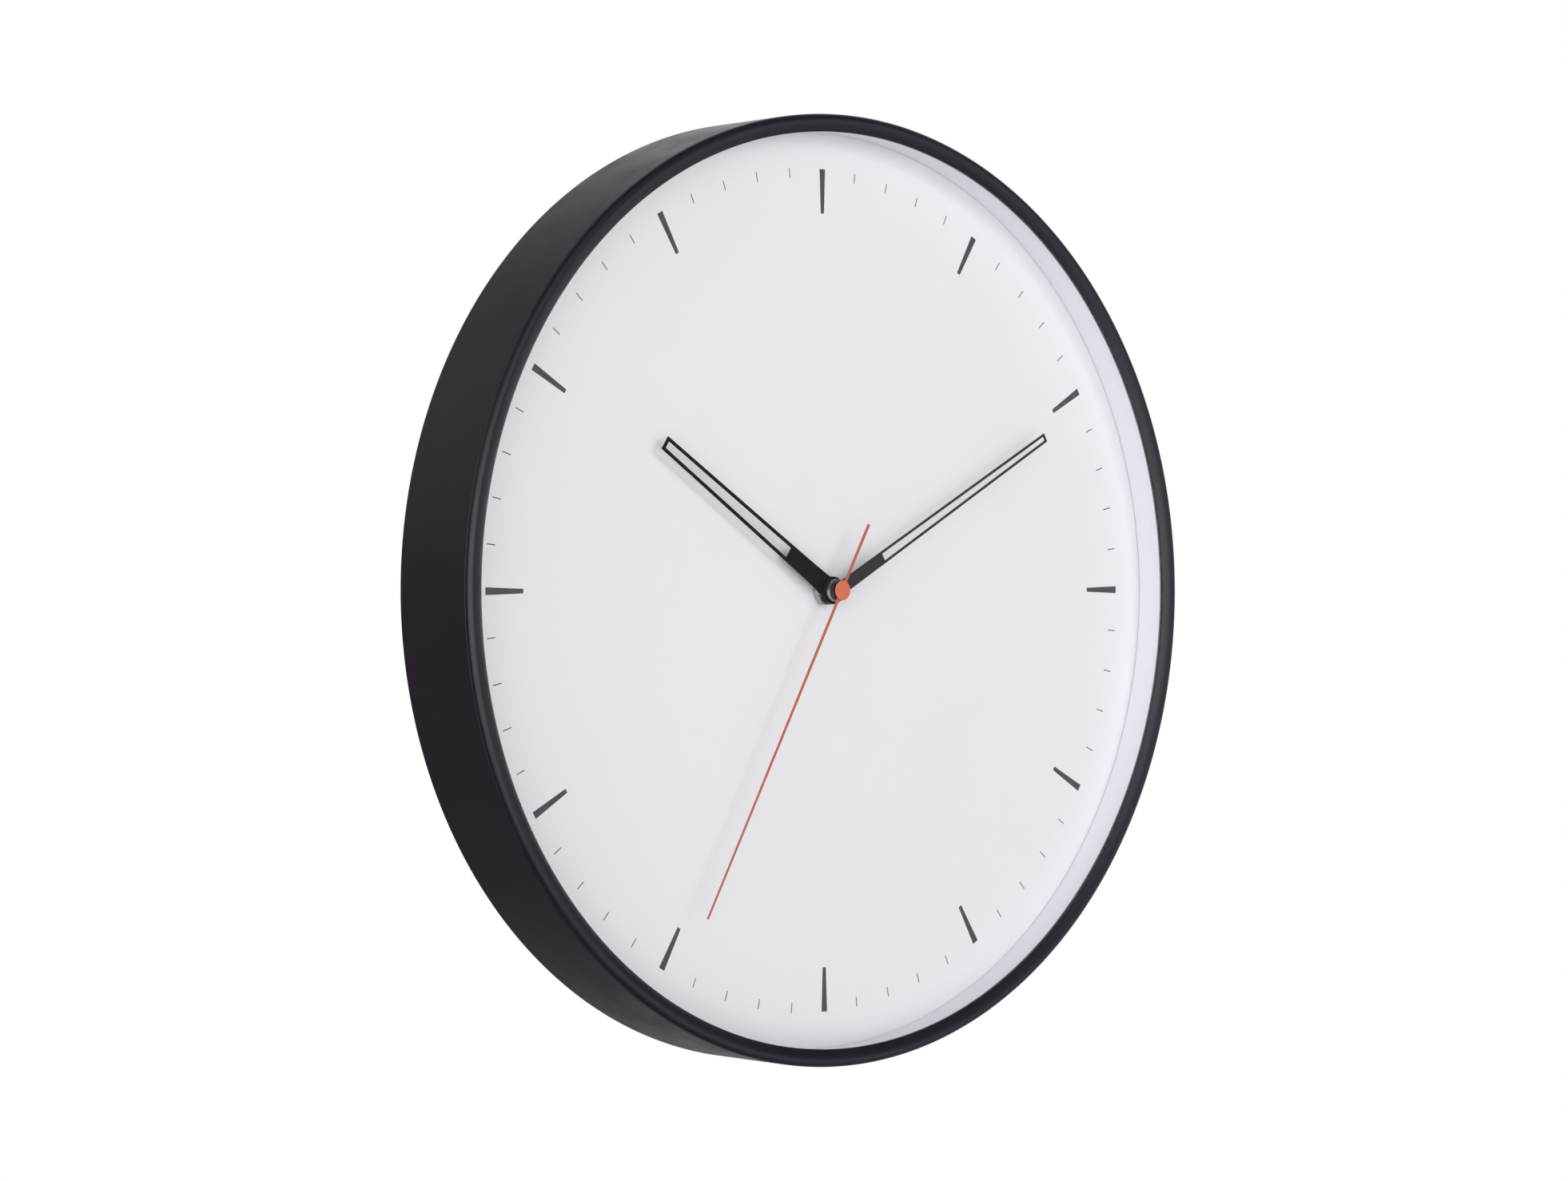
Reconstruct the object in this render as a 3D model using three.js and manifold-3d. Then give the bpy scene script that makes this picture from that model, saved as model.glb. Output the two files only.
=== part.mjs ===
// Battery wall clock: round flat-fronted case, skeleton hands and a quartz movement with its gear train.
// Millimetres. X is to the right seen from the front, Y points to the wall and Z is up.
// The origin is the point of the keyhole that bears on the wall screw, in the plane of the wall.
import * as THREE from 'three';
import { mergeVertices } from 'three/addons/utils/BufferGeometryUtils.js';
import Module from 'manifold-3d';

const wasm = await Module();
wasm.setup();

// ---- Driving dimensions ----
const CASE_RADIUS = 200;
const CASE_DEPTH = 46.1;
const ARBOR_DROP = 150; // the hands' axis lies this far below the hanging point
const GAP = 0.3; // clearance left between pieces that meet

const CREST = -CASE_DEPTH; // foremost line of the bezel's rounded front
const MOUTH = CREST + 1.9; // where the bezel's front meets its opening
const BEZEL = { inner: 192.6, crest: 197.7, lip: 1.2, rear: CREST + 2.6 };
const SKIRT = { inner: 196, outer: 196.7, end: -36 };
const GLASS = { radius: 194.6, front: MOUTH + 1.3, rear: MOUTH + 3.3 };
const GASKET = { inner: 194.9, outer: 195.7 };
const DIAL = { radius: 195.6, front: MOUTH + 16.6, thickness: 1, hole: 4.3 };
const DIAL_REAR = DIAL.front + DIAL.thickness;
const SPACER = { inner: 194, outer: 195.8 };
const BAND = { front: BEZEL.rear + 0.2, inner: 197, ledgeInner: 190, ledgeDepth: 3.3, rearInner: 197.2 };
const COVER = { radius: 196.9, front: -4, rear: -2.2, window: 60 };
const FLANGE = { inner: 187, front: -6.5, rear: COVER.front - GAP };
const COVER_SCREWS = { count: 6, circle: 191.5, shank: 1.3, head: 3.2 };
const HANGER = { halfWidth: 24, top: 8, bottom: -21, front: -1.9, rear: -0.8, screwX: 19, screwZ: -6 };
const KEYHOLE = { slot: 2.5, round: 5, roundZ: -14, pocketHalfWidth: 13, pocketTop: 4, pocketBottom: -19 };
const BUMPER = { radius: 7, x: 110, z: -130 };

// Half widths at the hub and at the tip, and strip, the width of the frame round the slot.
const HOUR = { reach: 109.2, slotStart: 28.6, wide: 4.1, narrow: 3.05, strip: 1.4, hole: 3.6 };
const MINUTE = { reach: 141.2, slotStart: 29.5, wide: 2.9, narrow: 2, strip: 1.05, hole: 2.7 };
const SECOND = { reach: 153.6, tail: 32, wide: 0.66, narrow: 0.43, hub: 3.2, cap: 4.2 };
const HOUR_DEPTH = { hubRadius: 5.9, hubFront: -34.5, front: -32.9, rear: -32.3 };
const MINUTE_DEPTH = { hubRadius: 4.5, hubFront: -38.5, front: -37.4, rear: -36.9 };
const SECOND_DEPTH = { capFront: -40.3, front: -39.6, rear: -39.2, sleeveEnd: -38.8 };
const HOUR_ANGLE = -56.4; // degrees clockwise from twelve, hands at rest
const MINUTE_ANGLE = 61.4;
const SECOND_ANGLE = 209;

const MOVEMENT = { half: 28, corner: 4, wall: 1, front: DIAL_REAR + 1.2, rear: -9.4, floor: 1.2 };
const HOUSING_END = -18.7; // the housing and its back cover meet here
const BUSHING = { outer: 3.95, bore: 2.9, end: -30.8 };
const NUT = { acrossCorners: 13.8, front: -31, rear: -28.1 };
const PIPES = { secondArbor: 0.6, minuteBore: 0.85, minuteOuter: 1.75, hourBore: 2, hourOuter: 2.6 };
const PIVOT = { thin: 0.35, thick: 0.6, hole: 0.55, end: -10.3 };
const BAY = { halfLength: 26.1, bottom: -26.1, top: -11.6, floor: -23.2, skin: 0.6, corner: 2.7 };
const BATTERY = { radius: 7.1, halfLength: 24.6, nub: 0.6, z: -18.85, y: -15.8 };
const MIDDLE_PLATE = { front: -18.5, rear: -17.9, half: 26.4, bottom: -10.5 };

// Gear pairs: modules, and the arbors' places round the centre.
const ROTOR_PAIR = 0.35; // rotor pinion 6, intermediate wheel 36
const SECOND_PAIR = 0.45; // intermediate pinion 6, second wheel 30
const THIRD_PAIR = 0.4; // second pinion 6, third wheel 45
const CENTRE_PAIR = THIRD_PAIR * (6 + 45) / (6 + 48); // third pinion 6, centre wheel 48
const MOTION_PAIR = 0.4; // cannon pinion 12, motion wheel 36 and setting pinion 12
const HOUR_PAIR = MOTION_PAIR * (12 + 36) / (10 + 40); // motion pinion 10, hour wheel 40

const radians = THREE.MathUtils.degToRad;
const centreDistance = (module, teethA, teethB) => (module * (teethA + teethB)) / 2;
const offset = (from, distance, degrees) => ({
  x: from.x + distance * Math.cos(radians(degrees)),
  z: from.z + distance * Math.sin(radians(degrees)),
});

const TO_THIRD = 10; // directions of the arbors, degrees counter-clockwise from +X
const TO_INTERMEDIATE = 135;
const TO_ROTOR = 75;
const TO_MOTION = 180;
const TO_SETTING = 130;
const CENTRE = { x: 0, z: 0 };
const THIRD_AT = offset(CENTRE, centreDistance(THIRD_PAIR, 6, 45), TO_THIRD);
const INTERMEDIATE_AT = offset(CENTRE, centreDistance(SECOND_PAIR, 6, 30), TO_INTERMEDIATE);
const ROTOR_AT = offset(INTERMEDIATE_AT, centreDistance(ROTOR_PAIR, 6, 36), TO_ROTOR);
const MOTION_AT = offset(CENTRE, centreDistance(MOTION_PAIR, 12, 36), TO_MOTION);
const SETTING_AT = offset(MOTION_AT, centreDistance(MOTION_PAIR, 12, 36), TO_SETTING);

// ---- Materials ----
function material(color, roughness, metalness = 0) {
  return new THREE.MeshStandardMaterial({ color, roughness, metalness });
}

const BLACK_PAINT = material(0x1b1c1e, 0.5);
const GLASS_CLEAR = material(0xe8f2f2, 0.05);
GLASS_CLEAR.transparent = true;
GLASS_CLEAR.opacity = 0.35;
const WHITE_PLASTIC = material(0xe9edf4, 0.5);
const DIAL_WHITE = material(0xf0f0f3, 0.7);
const BLACK_PLASTIC = material(0x202123, 0.6);
const RUBBER = material(0x18181a, 0.9);
const STEEL = material(0xb9bcc0, 0.35, 1);
const CHROME = material(0xd6d8db, 0.15, 1);
const BRASS = material(0xc9a24a, 0.35, 1);
const HAND_BLACK = material(0x1d1d1f, 0.45);
const ORANGE = material(0xe06a45, 0.45);
const WHEEL_WHITE = material(0xe4e1d8, 0.5);
const COPPER = material(0xb4602f, 0.4, 1);
const BOARD_GREEN = material(0x2f6b45, 0.6);
const BATTERY_JACKET = material(0x3c5f86, 0.4);

// ---- Shape helpers ----
const clock = new THREE.Group();
const face = new THREE.Group(); // everything that is centred on the hands' axis
face.position.z = -ARBOR_DROP;
clock.add(face);

function add(parent, name, geometry, look) {
  const mesh = new THREE.Mesh(geometry, look);
  mesh.name = name;
  parent.add(mesh);
  return mesh;
}

// A body of revolution about the Y axis from [radius, y] corners; a closed ring repeats its first corner.
function turned(corners, sides) {
  return new THREE.LatheGeometry(corners.map(([r, y]) => new THREE.Vector2(r, y)), sides);
}

function ring(inner, outer, front, rear, sides) {
  return turned([[inner, front], [outer, front], [outer, rear], [inner, rear], [inner, front]], sides);
}

function rod(radius, front, rear, sides, at = CENTRE) {
  const geometry = new THREE.CylinderGeometry(radius, radius, rear - front, sides);
  return geometry.translate(at.x, (front + rear) / 2, at.z);
}

function block(x0, x1, y0, y1, z0, z1) {
  const geometry = new THREE.BoxGeometry(x1 - x0, y1 - y0, z1 - z0);
  return geometry.translate((x0 + x1) / 2, (y0 + y1) / 2, (z0 + z1) / 2);
}

// A flat outline, drawn as seen from the front, given thickness between two depths.
function plate(shape, front, rear, curveSegments = 6) {
  const options = { depth: rear - front, bevelEnabled: false, curveSegments };
  return new THREE.ExtrudeGeometry(shape, options).rotateX(Math.PI / 2).translate(0, rear, 0);
}

function roundedRectangle(x0, x1, z0, z1, corner) {
  const shape = new THREE.Shape();
  shape.moveTo(x0 + corner, z0);
  shape.lineTo(x1 - corner, z0);
  shape.absarc(x1 - corner, z0 + corner, corner, -Math.PI / 2, 0);
  shape.lineTo(x1, z1 - corner);
  shape.absarc(x1 - corner, z1 - corner, corner, 0, Math.PI / 2);
  shape.lineTo(x0 + corner, z1);
  shape.absarc(x0 + corner, z1 - corner, corner, Math.PI / 2, Math.PI);
  shape.lineTo(x0, z0 + corner);
  shape.absarc(x0 + corner, z0 + corner, corner, Math.PI, 1.5 * Math.PI);
  return shape;
}

function solid(geometry) {
  const bare = geometry.clone();
  bare.deleteAttribute('normal');
  bare.deleteAttribute('uv');
  const merged = mergeVertices(bare);
  const vertProperties = new Float32Array(merged.attributes.position.array);
  const triVerts = new Uint32Array(merged.index.array);
  return new wasm.Manifold(new wasm.Mesh({ numProp: 3, vertProperties, triVerts }));
}

function geometryOf(manifold) {
  const { vertProperties, triVerts } = manifold.getMesh();
  const geometry = new THREE.BufferGeometry();
  geometry.setAttribute('position', new THREE.BufferAttribute(vertProperties, 3));
  geometry.setIndex(new THREE.BufferAttribute(triVerts, 1));
  geometry.computeVertexNormals();
  return geometry;
}

function joined(geometries, cuts = []) {
  const whole = geometries.map(solid).reduce((sum, next) => sum.add(next));
  return geometryOf(cuts.map(solid).reduce((left, cut) => left.subtract(cut), whole));
}

// ---- Gear teeth ----
// Heights above and below the pitch circle in modules, and half widths in pitches.
const WHEEL_TOOTH = { tip: 0.7, valley: 1.55, tipShare: 0.1 };
const PINION_TOOTH = { tip: 0.75, root: 1.15, tipShare: 0.08, rootShare: 0.24 };

function polar(radius, angle) {
  return new THREE.Vector2(radius * Math.cos(angle), radius * Math.sin(angle));
}

// A wheel with blunt teeth and V-shaped gaps; one tooth points along phase.
function wheelShape(teeth, module, phase, bore = 0) {
  const pitch = (2 * Math.PI) / teeth;
  const radius = (teeth * module) / 2;
  const points = [];
  for (let i = 0; i < teeth; i += 1) {
    const middle = phase + i * pitch;
    points.push(polar(radius - WHEEL_TOOTH.valley * module, middle - pitch / 2));
    points.push(polar(radius + WHEEL_TOOTH.tip * module, middle - WHEEL_TOOTH.tipShare * pitch));
    points.push(polar(radius + WHEEL_TOOTH.tip * module, middle + WHEEL_TOOTH.tipShare * pitch));
  }
  return withBore(new THREE.Shape(points), bore);
}

// A pinion with straight-sided leaves; one leaf points along phase.
function pinionShape(leaves, module, phase, bore = 0) {
  const pitch = (2 * Math.PI) / leaves;
  const radius = (leaves * module) / 2;
  const points = [];
  for (let i = 0; i < leaves; i += 1) {
    const middle = phase + i * pitch;
    points.push(polar(radius - PINION_TOOTH.root * module, middle - PINION_TOOTH.rootShare * pitch));
    points.push(polar(radius + PINION_TOOTH.tip * module, middle - PINION_TOOTH.tipShare * pitch));
    points.push(polar(radius + PINION_TOOTH.tip * module, middle + PINION_TOOTH.tipShare * pitch));
    points.push(polar(radius - PINION_TOOTH.root * module, middle + PINION_TOOTH.rootShare * pitch));
  }
  return withBore(new THREE.Shape(points), bore);
}

function withBore(shape, bore) {
  if (bore > 0) {
    shape.holes.push(new THREE.Path().absarc(0, 0, bore, 0, 2 * Math.PI, true));
  }
  return shape;
}

// The phase that puts gear B's gap against gear A's tooth; direction runs from A's axis to B's, in degrees.
function meshPhase(teethA, phaseA, direction, teethB) {
  const along = radians(direction);
  const shift = ((phaseA - along) * teethA) / (2 * Math.PI) + 0.5;
  return along + Math.PI - (shift * 2 * Math.PI) / teethB;
}

// ---- Case ----
const RING_SIDES = 48;

function caseBand() {
  const ledgeFront = DIAL_REAR + GAP;
  const ledgeRear = ledgeFront + BAND.ledgeDepth;
  const profile = [
    [BAND.inner, BAND.front], [CASE_RADIUS, BAND.front], [CASE_RADIUS, -0.8], [CASE_RADIUS - 0.8, 0],
    [BAND.rearInner + 0.5, 0], [BAND.rearInner, -0.5], [BAND.rearInner, FLANGE.rear],
    [FLANGE.inner, FLANGE.rear], [FLANGE.inner, FLANGE.front], [BAND.inner, FLANGE.front],
    [BAND.inner, ledgeRear], [BAND.ledgeInner, ledgeRear], [BAND.ledgeInner, ledgeFront],
    [BAND.inner, ledgeFront], [BAND.inner, BAND.front],
  ];
  const holes = screwPlaces().map((at) => rod(1.5, FLANGE.front - 1, FLANGE.rear + 1, 10, at));
  return joined([turned(profile, RING_SIDES)], holes);
}

// The front rises from the opening to a crest near the outer edge, then rounds over into the side.
function bezelRing() {
  const lipRear = MOUTH + BEZEL.lip;
  const edge = CASE_RADIUS - BEZEL.crest;
  const rounding = [30, 60, 90].map((degrees) => [
    BEZEL.crest + edge * Math.sin(radians(degrees)),
    CREST + edge * (1 - Math.cos(radians(degrees))),
  ]);
  return turned([
    [BEZEL.inner, lipRear], [BEZEL.inner, MOUTH], [BEZEL.inner + 1.8, MOUTH - 1.2],
    [BEZEL.crest, CREST], ...rounding, [CASE_RADIUS, BEZEL.rear], [SKIRT.outer, BEZEL.rear],
    [SKIRT.outer, SKIRT.end], [SKIRT.inner, SKIRT.end], [SKIRT.inner, lipRear], [BEZEL.inner, lipRear],
  ], RING_SIDES);
}

function screwPlaces() {
  const { count, circle } = COVER_SCREWS;
  return Array.from({ length: count }, (_, i) => offset(CENTRE, circle, (360 / count) * (i + 0.5)));
}

function hangerScrewPlaces() {
  return [-HANGER.screwX, HANGER.screwX].map((x) => ({ x, z: HANGER.screwZ }));
}

function panScrew(shank, head, tip, seat, height) {
  return turned([
    [0, tip], [shank, tip], [shank, seat], [head, seat], [head, seat + height * 0.6],
    [head * 0.7, seat + height], [0, seat + height],
  ], 10);
}

function rearCover() {
  const half = COVER.window / 2;
  const window = plate(roundedRectangle(-half, half, -half, half, 4), COVER.front - 1, COVER.rear + 1, 3);
  const pocket = block(-KEYHOLE.pocketHalfWidth, KEYHOLE.pocketHalfWidth, COVER.front - 1, COVER.rear + 1,
    ARBOR_DROP + KEYHOLE.pocketBottom, ARBOR_DROP + KEYHOLE.pocketTop);
  const screws = screwPlaces().map((at) => rod(1.7, COVER.front - 1, COVER.rear + 1, 10, at));
  const hangerScrews = hangerScrewPlaces()
    .map(({ x, z }) => rod(1.3, COVER.front - 1, COVER.rear + 1, 10, { x, z: z + ARBOR_DROP }));
  return joined([rod(COVER.radius, COVER.front, COVER.rear, RING_SIDES)],
    [window, pocket, ...screws, ...hangerScrews]);
}

function hangerPlate() {
  const shape = roundedRectangle(-HANGER.halfWidth, HANGER.halfWidth, HANGER.bottom, HANGER.top, 3);
  const keyhole = new THREE.Path();
  const half = Math.asin(KEYHOLE.slot / KEYHOLE.round);
  keyhole.absarc(0, KEYHOLE.roundZ, KEYHOLE.round, Math.PI / 2 + half, Math.PI / 2 - half, false);
  keyhole.absarc(0, -KEYHOLE.slot, KEYHOLE.slot, 0, Math.PI, false);
  shape.holes.push(keyhole);
  for (const { x, z } of hangerScrewPlaces()) {
    shape.holes.push(new THREE.Path().absarc(x, z, 1.5, 0, 2 * Math.PI, true));
  }
  return plate(shape, HANGER.front, HANGER.rear, 6);
}

add(face, 'case_band', caseBand(), BLACK_PAINT);
add(face, 'bezel_ring', bezelRing(), BLACK_PAINT);
add(face, 'lens_glass', rod(GLASS.radius, GLASS.front, GLASS.rear, RING_SIDES), GLASS_CLEAR);
add(face, 'lens_gasket', ring(GASKET.inner, GASKET.outer, GLASS.front + 0.2, GLASS.rear, RING_SIDES), RUBBER);
add(face, 'spacer_ring', ring(SPACER.inner, SPACER.outer, GLASS.rear + GAP, DIAL.front - GAP, RING_SIDES),
  WHITE_PLASTIC);
add(face, 'dial_plate', ring(DIAL.hole, DIAL.radius, DIAL.front, DIAL_REAR, RING_SIDES), DIAL_WHITE);
add(face, 'rear_cover', rearCover(), BLACK_PLASTIC);
add(clock, 'hanger_plate', hangerPlate(), STEEL);
screwPlaces().forEach((at, i) => {
  const screw = panScrew(COVER_SCREWS.shank, COVER_SCREWS.head, FLANGE.front + 0.2, COVER.rear + 0.05, 1.5);
  add(face, `cover_screw_${i + 1}`, screw, STEEL).position.set(at.x, 0, at.z);
});
hangerScrewPlaces().forEach((at, i) => {
  add(clock, `hanger_screw_${i + 1}`, panScrew(1.1, 2.4, COVER.front - 0.5, HANGER.rear + 0.05, 0.6), STEEL)
    .position.set(at.x, 0, at.z);
});
['left', 'right'].forEach((side, i) => {
  add(face, `wall_bumper_${side}`, rod(BUMPER.radius, COVER.rear + 0.1, 0, 20), RUBBER)
    .position.set(BUMPER.x * (2 * i - 1), 0, BUMPER.z);
});

// ---- Hands ----
// A tapered frame with a long slot, pointing at twelve, and the thicker round hub that its collet fills.
function frameHand(hand, depth) {
  const shape = new THREE.Shape();
  const start = Math.sqrt(depth.hubRadius ** 2 - hand.wide ** 2);
  shape.moveTo(hand.wide, start);
  shape.lineTo(hand.narrow, hand.reach);
  shape.lineTo(-hand.narrow, hand.reach);
  shape.lineTo(-hand.wide, start);
  const edge = Math.asin(hand.wide / depth.hubRadius);
  shape.absarc(0, 0, depth.hubRadius, Math.PI / 2 + edge, Math.PI / 2 - edge + 2 * Math.PI, false);
  const slope = (hand.wide - hand.narrow) / (hand.reach - start);
  const halfAt = (z) => hand.wide - slope * (z - start) - hand.strip;
  const top = hand.reach - hand.strip;
  const slot = [[-1, hand.slotStart], [-1, top], [1, top], [1, hand.slotStart]];
  shape.holes.push(new THREE.Path(slot.map(([side, z]) => new THREE.Vector2(side * halfAt(z), z))));
  const hub = rod(depth.hubRadius - 0.1, depth.hubFront, depth.front + 0.2, 20);
  const hole = rod(hand.hole, depth.hubFront - 1, depth.rear + 1, 18);
  return joined([plate(shape, depth.front, depth.rear, 10), hub], [hole]);
}

function needleHand() {
  const { reach, tail, wide, narrow, hub } = SECOND;
  const { front, rear, sleeveEnd } = SECOND_DEPTH;
  const needle = new THREE.Shape([[-wide, -tail], [wide, -tail], [wide, 0], [narrow, reach], [-narrow, reach],
    [-wide, 0]].map(([x, z]) => new THREE.Vector2(x, z)));
  const pieces = [plate(needle, front, rear), rod(hub, front, rear, 20), rod(1.1, front, sleeveEnd, 12)];
  return joined(pieces, [rod(PIPES.secondArbor + 0.15, front - 1, sleeveEnd + 1, 12)]);
}

// A sleeve inside the hand's hub with a flange behind the blade.
function collet(hand, depth, bore, sleeveFront, flange, rear) {
  const sleeve = hand.hole - 0.15;
  const shoulder = depth.rear + 0.15;
  return turned([[bore, sleeveFront], [sleeve, sleeveFront], [sleeve, shoulder], [flange, shoulder],
    [flange, rear], [bore, rear], [bore, sleeveFront]], 18);
}

function secondCap() {
  const { capFront, front } = SECOND_DEPTH;
  return turned([[0, capFront], [SECOND.cap - 0.4, capFront], [SECOND.cap, capFront + 0.25],
    [SECOND.cap, front - 0.1], [0, front - 0.1]], 24);
}

function addHandPiece(name, geometry, look, clockwiseDegrees) {
  add(face, name, geometry, look).rotation.y = radians(clockwiseDegrees);
}

addHandPiece('hour_hand', frameHand(HOUR, HOUR_DEPTH), HAND_BLACK, HOUR_ANGLE);
addHandPiece('hour_collet', collet(HOUR, HOUR_DEPTH, PIPES.hourOuter + 0.1, -34.2, 5.2, -31.2), STEEL,
  HOUR_ANGLE);
addHandPiece('minute_hand', frameHand(MINUTE, MINUTE_DEPTH), HAND_BLACK, MINUTE_ANGLE);
addHandPiece('minute_collet', collet(MINUTE, MINUTE_DEPTH, PIPES.minuteOuter + 0.1, -38.2, 4.8, -34.8), STEEL,
  MINUTE_ANGLE);
addHandPiece('second_hand', needleHand(), ORANGE, SECOND_ANGLE);
addHandPiece('second_cap', secondCap(), ORANGE, SECOND_ANGLE);

// ---- Movement case ----
const POST_PLACES = [{ x: -22, z: 22 }, { x: 22, z: 22 }, { x: -22, z: -6 }, { x: 22, z: -6 }];

function movementBlock(inset, front, rear) {
  const half = MOVEMENT.half - inset;
  return plate(roundedRectangle(-half, half, -half, half, MOVEMENT.corner - inset), front, rear, 3);
}

function movementHousing() {
  const inside = MOVEMENT.front + MOVEMENT.floor;
  const shell = joined([movementBlock(0, MOVEMENT.front, HOUSING_END)],
    [movementBlock(MOVEMENT.wall, inside, HOUSING_END + 1)]);
  const posts = POST_PLACES.map((at) => rod(1.6, inside - 0.5, MIDDLE_PLATE.front - GAP, 10, at));
  const motionPost = rod(0.6, inside - 0.5, -21.9, 10, MOTION_AT);
  const bushing = rod(BUSHING.outer, BUSHING.end, inside - 0.2, 24);
  const bore = rod(BUSHING.bore, BUSHING.end - 1, inside + 1, 24);
  const pivotHole = rod(PIVOT.hole, MOVEMENT.front - 1, inside + 1, 10, THIRD_AT);
  return joined([shell, ...posts, motionPost, bushing], [bore, pivotHole]);
}

function movementBackCover() {
  const inside = MOVEMENT.rear - MOVEMENT.floor;
  const shell = joined([movementBlock(0, HOUSING_END + GAP, MOVEMENT.rear)],
    [movementBlock(MOVEMENT.wall, HOUSING_END - 1, inside)]);
  const { halfLength, bottom, top, floor, skin, corner } = BAY;
  const outline = roundedRectangle(-halfLength - skin, halfLength + skin, bottom - skin, top + skin, corner);
  const tub = plate(outline, floor - skin, MOVEMENT.rear, 3);
  const bay = block(-halfLength, halfLength, floor, MOVEMENT.rear + 1, bottom, top);
  const bearings = [CENTRE, THIRD_AT, INTERMEDIATE_AT, ROTOR_AT];
  const bosses = bearings.map((at) => rod(1.3, inside - 1, inside + 0.3, 10, at));
  const pivots = bearings.map((at) => rod(PIVOT.hole + 0.2, inside - 2, PIVOT.end + 0.2, 10, at));
  const settingHole = rod(1.6, inside - 1, MOVEMENT.rear + 1, 12, SETTING_AT);
  return joined([shell, tub, ...bosses], [bay, ...pivots, settingHole]);
}

function middlePlate() {
  const { half, bottom, front, rear } = MIDDLE_PLATE;
  const body = plate(roundedRectangle(-half, half, bottom, half, 3), front, rear, 3);
  const opening = (radius, at) => rod(radius, front - 1, rear + 1, 12, at);
  return joined([body], [opening(1.9, CENTRE), opening(0.9, THIRD_AT), opening(PIVOT.hole, INTERMEDIATE_AT),
    opening(PIVOT.hole, ROTOR_AT), opening(1.5, SETTING_AT)]);
}

add(face, 'movement_housing', movementHousing(), BLACK_PLASTIC);
add(face, 'movement_back_cover', movementBackCover(), BLACK_PLASTIC);
add(face, 'middle_plate', middlePlate(), WHEEL_WHITE);
add(face, 'rubber_washer', ring(DIAL.hole, 12, DIAL_REAR + 0.1, MOVEMENT.front - 0.1, 24), RUBBER);
add(face, 'brass_washer', ring(DIAL.hole, 5.9, NUT.rear + 0.05, DIAL.front - 0.05, 24), BRASS);
const NUT_SIDES = [0, 1, 2, 3, 4, 5];
const NUT_CORNERS = NUT_SIDES.map((side) => polar(NUT.acrossCorners / 2, radians(60 * side)));
const NUT_SHAPE = withBore(new THREE.Shape(NUT_CORNERS), BUSHING.outer + 0.15);
add(face, 'fixing_nut', plate(NUT_SHAPE, NUT.front, NUT.rear, 12), CHROME);

// ---- Motor and circuit ----
const STATOR = { left: -17, right: 9, bottom: 9.3, bridge: 16.5, top: 24, leg: 4.2 };
const STATOR_SHEET = { front: -14.3, rear: -13.5 };
const COIL = { left: -12, right: 3.2, z: 22, y: -15, radius: 2.7 };
const BOARD = { front: -13, rear: -12.2 };

function stator() {
  const { left, right, bottom, bridge, top, leg } = STATOR;
  const corners = [[left, bottom], [right, bottom], [right, top], [right - leg, top],
    [right - leg, bridge], [left + leg, bridge], [left + leg, top], [left, top]];
  const shape = new THREE.Shape(corners.map(([x, z]) => new THREE.Vector2(x, z)));
  shape.holes.push(new THREE.Path().absarc(ROTOR_AT.x, ROTOR_AT.z, 2.2, 0, 2 * Math.PI, true));
  return plate(shape, STATOR_SHEET.front, STATOR_SHEET.rear, 8);
}

function coil() {
  const length = COIL.right - COIL.left;
  const winding = new THREE.CylinderGeometry(COIL.radius, COIL.radius, length, 16).rotateZ(Math.PI / 2);
  winding.translate((COIL.left + COIL.right) / 2, COIL.y, COIL.z);
  const bore = block(COIL.left - 1, COIL.right + 1, COIL.y - 0.6, COIL.y + 0.6, COIL.z - 1.5, COIL.z + 1.5);
  return joined([winding], [bore]);
}

function coilCore() {
  return block(STATOR.left, STATOR.right, COIL.y - 0.4, COIL.y + 0.4, COIL.z - 1.2, COIL.z + 1.2);
}

// A round cell with its small contact at the +X end.
function battery() {
  const { radius, halfLength, nub } = BATTERY;
  const profile = [[0, -halfLength], [radius, -halfLength], [radius, halfLength - 1], [2.7, halfLength - 1],
    [2.7, halfLength + nub], [0, halfLength + nub]];
  return turned(profile, 24).rotateZ(-Math.PI / 2).translate(0, BATTERY.y, BATTERY.z);
}

add(face, 'stator', stator(), STEEL);
add(face, 'coil', coil(), COPPER);
add(face, 'coil_core', coilCore(), STEEL);
add(face, 'circuit_board', block(10.5, 25.5, BOARD.front, BOARD.rear, 6.5, 25.5), BOARD_GREEN);
add(face, 'controller_chip', block(15, 19, BOARD.rear + 0.1, BOARD.rear + 1, 12, 16), BLACK_PLASTIC);
add(face, 'quartz_crystal', new THREE.CylinderGeometry(1, 1, 6, 12).rotateZ(Math.PI / 2)
  .translate(18, BOARD.front - 1.1, 21), STEEL);
add(face, 'contact_plus', block(25.45, 25.95, -21, -11, -22.2, -15.5), BRASS);
add(face, 'contact_minus', block(-25.95, -25.45, -21, -11, -22.2, -15.5), BRASS);
add(face, 'battery', battery(), BATTERY_JACKET);

// ---- Gear train ----
const FRONT_PIVOT = MIDDLE_PLATE.front + 0.1;
const ROTOR_LEAF = radians(TO_ROTOR + 180); // a leaf of each pinion points at the wheel it drives
const INTERMEDIATE_LEAF = radians(TO_INTERMEDIATE + 180);
const SECOND_LEAF = radians(TO_THIRD);
const THIRD_LEAF = radians(TO_THIRD + 180);
const CANNON_LEAF = radians(TO_MOTION);
const MOTION_LEAF = radians(TO_MOTION + 180);
const ROTOR_GAP = meshPhase(6, ROTOR_LEAF, TO_ROTOR + 180, 36); // teeth of the driven wheels
const INTERMEDIATE_GAP = meshPhase(6, INTERMEDIATE_LEAF, TO_INTERMEDIATE + 180, 30);
const SECOND_GAP = meshPhase(6, SECOND_LEAF, TO_THIRD, 45);
const THIRD_GAP = meshPhase(6, THIRD_LEAF, TO_THIRD + 180, 48);
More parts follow.
